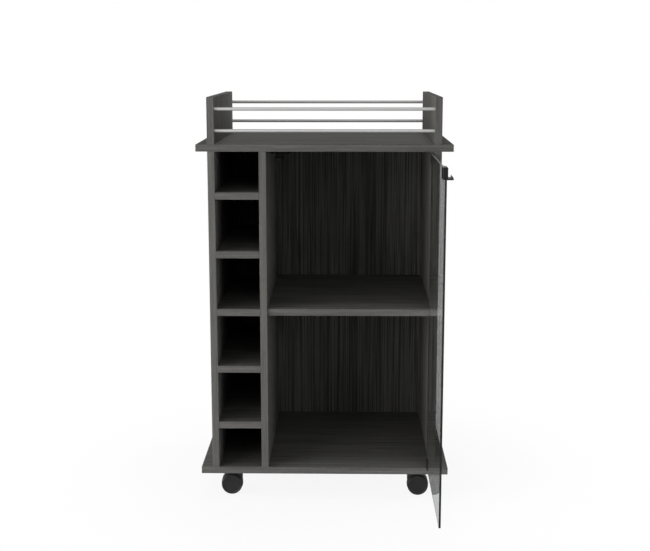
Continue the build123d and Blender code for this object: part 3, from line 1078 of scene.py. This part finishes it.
@dataclass
class GuardRails:
    """The four rails between the tray ends."""

    nodes: Tuple[str, ...] = ("front_rail_upper", "front_rail_lower", "back_rail_upper", "back_rail_lower")
    seed: int = 3

    def build(self) -> bpy.types.Object:
        """Sweeps the rails.

        Returns:
            The piece with all four.
        """
        boxes = [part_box(node) for node in self.nodes]
        low, high = boxes[0]
        starts = [Vector((a.x, (a.y + b.y) / 2, (a.z + b.z) / 2)) for a, b in boxes]
        tree = RailTree(SATIN_RAIL.material())
        mesh = tree.run("guard_rails", starts, {
            "Rail Radius": (high.z - low.z) / 2,
            "Rail Length": high.x - low.x,
            "Direction": (1, 0, 0),
            "Seed": self.seed,
        })
        return new_piece("guard_rails", mesh, Body.CABINET.value, self.nodes)


class PaneSide(Enum):
    """The sides of the pane, numbered as its finishes are."""

    CLEAR = 0
    SHADED_UPRIGHT_EDGE = 1
    LIT_LEVEL_EDGE = 2


@dataclass
class GlassDoor:
    """The pane, its pivot clamps and its handle clip."""

    edge_ease: float = 0.4 * MM
    edge_segments: int = 2
    clamp_ease: float = 0.35 * MM
    flat_cosine: float = 0.999
    level_cosine: float = 0.6

    def build(self) -> None:
        """Makes the pane and its fittings."""
        self.pane()
        door = Body.DOOR.value
        coat, rubber = BLACK_COAT.material(), LINER_RUBBER.material()
        for end in ("top", "bottom"):
            softened(f"{end}_hinge_clamp", f"{end}_pivot_clamp", door, coat, self.clamp_ease)
            dress(f"{end}_hinge_pin", coat)
            dress(f"{end}_hinge_bush", BLACK_NYLON.material())
        softened("handle_clip", "handle_grip", door, coat, self.clamp_ease)
        dress("hinge_liners", rubber)
        dress("handle_liner", rubber)
        Fastener("hinge_set_screws", Body.DOOR, (-1, 0, 0), SET_SCREW).build()

    def side(self, normal: Vector) -> PaneSide:
        """Tells which side of the pane a face is on.

        Args:
            normal: The face's normal, with the door open.

        Returns:
            The side.
        """
        if abs(normal.x) > self.flat_cosine:
            return PaneSide.CLEAR
        return PaneSide.LIT_LEVEL_EDGE if abs(normal.z) > self.level_cosine else PaneSide.SHADED_UPRIGHT_EDGE

    def pane(self) -> bpy.types.Object:
        """Makes the pane: clear faces, polished edges painted pale on top and below as a painted glow, and
        near black at the sides as painted shade.

        Returns:
            The pane's object.
        """
        low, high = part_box("door_glass")
        work = bmesh.new()
        bmesh.ops.create_cube(work, size=1.0)
        bmesh.ops.scale(work, vec=high - low, verts=work.verts)
        bmesh.ops.translate(work, vec=(low + high) / 2, verts=work.verts)
        edges = list(work.edges)
        bmesh.ops.bevel(
            work, geom=edges, offset=self.edge_ease, segments=self.edge_segments, profile=0.5, affect="EDGES"
        )
        bmesh.ops.recalc_face_normals(work, faces=work.faces)
        # Level edge faces get the pale painted glow, upright edge faces the near-black painted shade.
        for face in work.faces:
            face.material_index = self.side(face.normal).value
        mesh = bpy.data.meshes.new("door_pane")
        work.to_mesh(mesh)
        work.free()
        for finish in (ClearGlass(), SHADED_UPRIGHT_EDGE, LIT_LEVEL_EDGE):
            mesh.materials.append(finish.material())
        piece = new_piece("door_pane", mesh, Body.DOOR.value, ["door_glass"])
        piece.visible_shadow = False
        return piece


@dataclass
class MagneticCatch:
    """The catch under the top board."""

    ease: float = 0.6 * MM

    def build(self) -> None:
        """Makes the housing and its screws, and dresses the magnet and its plates."""
        black = MATT_BLACK_AND_SHADE.material()
        softened("catch_housing", "catch_body", Body.CABINET.value, black, self.ease)
        dress("catch_magnet", FERRITE.material())
        # The pole plates get the same near-black, as painted shade.
        dress("catch_pole_plates", MATT_BLACK_AND_SHADE.material())
        Fastener("catch_screws", Body.CABINET, (0, 0, 1), CATCH_SCREW, MATT_BLACK_AND_SHADE, "black_metal").build()


@dataclass
class Caster:
    """One twin-wheel swivel caster."""

    end: str
    side: str
    hood_ease: float = 0.6 * MM
    wheel_ease: float = 0.5 * MM
    plate_ease: float = 0.5 * MM

    def build(self) -> None:
        """Makes the plate, hood, axle and wheels."""
        place = f"{self.end}_{self.side}"
        name = f"{place}_caster"
        swivel, wheels = f"{place}_swivel", f"{place}_wheels"
        coat, nylon = BLACK_COAT.material(), BLACK_NYLON.material()
        softened(f"{name}_plate", f"{name}_mount", Body.CABINET.value, coat, self.plate_ease)
        softened(f"{name}_hood", f"{name}_fork", swivel, nylon, self.hood_ease)
        dress(f"{name}_axle", coat)
        for wheel in ("wheel_a", "wheel_b"):
            node = f"{name}_{wheel}"
            finish = WHEEL_NYLON.wheel(node, *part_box(node))
            softened(node, f"{node}_disc", wheels, finish, self.wheel_ease)


@dataclass
class Casters:
    """All four casters and their screws."""

    ends: Tuple[str, ...] = ("front", "rear")
    sides: Tuple[str, ...] = ("left", "right")

    def build(self) -> None:
        """Makes each caster, then the screws of all plates."""
        for end in self.ends:
            for side in self.sides:
                Caster(end, side).build()
        Fastener("caster_screws", Body.CABINET, (0, 0, 1), PLATE_SCREW).build()


# Studio


@dataclass(frozen=True)
class SoftBox:
    """One large soft lamp aimed at the cart, placed in degrees from the front and above the level."""

    name: str
    azimuth: float
    elevation: float
    power: float
    width: float = 1.4
    height: float = 1.4
    distance: float = 2.6
    mirrored: bool = True

    def build(self, target: Vector) -> bpy.types.Object:
        """Makes the lamp.

        Args:
            target: Point that it faces.

        Returns:
            The lamp's object.
        """
        turn, tilt = math.radians(self.azimuth), math.radians(self.elevation)
        way = Vector((math.sin(turn) * math.cos(tilt), -math.cos(turn) * math.cos(tilt), math.sin(tilt)))
        lamp = bpy.data.lights.new(self.name, "AREA")
        lamp.shape = "RECTANGLE"
        lamp.size, lamp.size_y = self.width, self.height
        lamp.energy = self.power
        shown = bpy.data.objects.new(self.name, lamp)
        shown.location = target + way * self.distance
        shown.rotation_euler = way.to_track_quat("Z", "Y").to_euler()
        shown.visible_camera = shown.visible_transmission = False
        shown.visible_glossy = self.mirrored
        bpy.context.scene.collection.objects.link(shown)
        return shown


LAMPS = (
    SoftBox("key_left", azimuth=-49.0, elevation=6.0, power=36.0, width=1.8),
    SoftBox("side_left", azimuth=-82.0, elevation=10.0, power=44.0),
    SoftBox("fill_right", azimuth=48.0, elevation=6.0, power=8.5),
    SoftBox("front_top", azimuth=0.0, elevation=30.0, power=4.5),
    SoftBox("overhead", azimuth=180.0, elevation=87.0, power=33.0, mirrored=False),
    SoftBox("rear_right", azimuth=118.0, elevation=5.0, power=46.0, mirrored=False),
    SoftBox("rear_left", azimuth=-172.0, elevation=10.0, power=34.0, mirrored=False),
)


@dataclass
class Studio:
    """Camera, floor, room light and lamps."""

    camera_place: Triple = (0.04466, -2.68261, 0.95921)
    pitch: float = 10.4657
    yaw: float = -1.0038
    roll: float = -0.0237
    focal_pixels: float = 1179.46
    image_width: float = 650.0
    sensor_width: float = 36.0
    view_depth: float = 50.0
    lit_point: Triple = (0.0, -0.15, 0.45)
    ambient: float = 0.10
    mirrored: float = 0.5
    floor_size: float = 14.0
    floor_drop: float = 0.2 * MM
    floor_grey: Colour = (0.8, 0.8, 0.8)
    floor_mirrored: float = 0.36
    floor_white: float = 0.9
    shadow_step: Step = (0.35, 0.75)

    def build(self) -> None:
        """Makes the whole studio."""
        self.camera()
        self.floor()
        self.room()
        for lamp in LAMPS:
            lamp.build(Vector(self.lit_point))
        bpy.context.scene.view_settings.view_transform = "Standard"

    def camera(self) -> None:
        """Puts the camera where the photograph was taken from."""
        pitch, yaw, roll = (math.radians(angle) for angle in (self.pitch, self.yaw, self.roll))
        level = Vector((math.sin(yaw), math.cos(yaw), 0.0))
        right = Vector((math.cos(yaw), -math.sin(yaw), 0.0))
        ahead = math.cos(pitch) * level - math.sin(pitch) * Vector((0, 0, 1))
        above = math.sin(pitch) * level + math.cos(pitch) * Vector((0, 0, 1))
        side = math.cos(roll) * right + math.sin(roll) * above
        top = -math.sin(roll) * right + math.cos(roll) * above
        lens = bpy.data.cameras.new("camera")
        lens.sensor_fit = "HORIZONTAL"
        lens.sensor_width = self.sensor_width
        lens.lens = self.focal_pixels * self.sensor_width / self.image_width
        lens.clip_end = self.view_depth
        shown = bpy.data.objects.new("camera", lens)
        turned = Matrix((side, top, -ahead)).transposed().to_4x4()
        shown.matrix_world = Matrix.Translation(self.camera_place) @ turned
        bpy.context.scene.collection.objects.link(shown)
        bpy.context.scene.camera = shown

    def floor(self) -> None:
        """Lays a pale floor that shows white to the camera and keeps a soft shadow."""
        half = self.floor_size / 2
        corners = ((-half, -half), (half, -half), (half, half), (-half, half))
        mesh = bpy.data.meshes.new("floor")
        mesh.from_pydata([(x, y, -self.floor_drop) for x, y in corners], [], [(0, 1, 2, 3)])
        tree = ShaderTree("pale_floor")
        x, y, _ = tree.axes()
        away = ((x ** 2 + y ** 2) ** 0.5).rise(*self.shadow_step)
        path = tree.node("ShaderNodeLightPath").outputs
        seen = Signal(tree, path["Is Camera Ray"]).most(Signal(tree, path["Is Transmission Ray"]))
        glossy = Signal(tree, path["Is Glossy Ray"])
        share = seen * (self.floor_white + away * (1 - self.floor_white))
        matt = tree.node("ShaderNodeBsdfDiffuse", None, {"Color": tree.rgba(self.floor_grey)}).outputs[0]
        grey = tree.node("ShaderNodeEmission", None, {"Strength": self.floor_mirrored}).outputs[0]
        white = tree.node("ShaderNodeEmission", None, {"Strength": 1.0}).outputs[0]
        mixed = tree.node("ShaderNodeMixShader", None, {0: glossy, 1: matt, 2: grey}).outputs[0]
        mixed = tree.node("ShaderNodeMixShader", None, {0: share, 1: mixed, 2: white}).outputs[0]
        tree.node("ShaderNodeOutputMaterial", None, {"Surface": mixed})
        mesh.materials.append(tree.material)
        shown = bpy.data.objects.new("floor", mesh)
        bpy.context.scene.collection.objects.link(shown)

    def room(self) -> None:
        """Gives the room its soft light, and shows it as white."""
        world = bpy.data.worlds.new("room")
        world.use_nodes = True
        bpy.context.scene.world = world
        tree = NodeTree(world.node_tree)
        tree.tree.nodes.clear()
        path = tree.node("ShaderNodeLightPath").outputs
        seen = Signal(tree, path["Is Camera Ray"]).most(Signal(tree, path["Is Transmission Ray"]))
        mirrored = Signal(tree, path["Is Glossy Ray"]) * self.mirrored
        strength = seen.most(mirrored).most(self.ambient)
        lit = tree.node("ShaderNodeBackground", None, {"Color": (1, 1, 1, 1), "Strength": strength})
        tree.node("ShaderNodeOutputWorld", None, {"Surface": lit.outputs[0]})


def main() -> None:
    """Builds the cart's looks and the studio."""
    logging.basicConfig(level=logging.INFO, format="%(name)s %(message)s")
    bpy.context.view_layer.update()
    carcass = Carcass()
    carcass.build()
    carcass.fasten()
    GuardRails().build()
    GlassDoor().build()
    MagneticCatch().build()
    Casters().build()
    Studio().build()


if __name__ == "__main__":
    main()
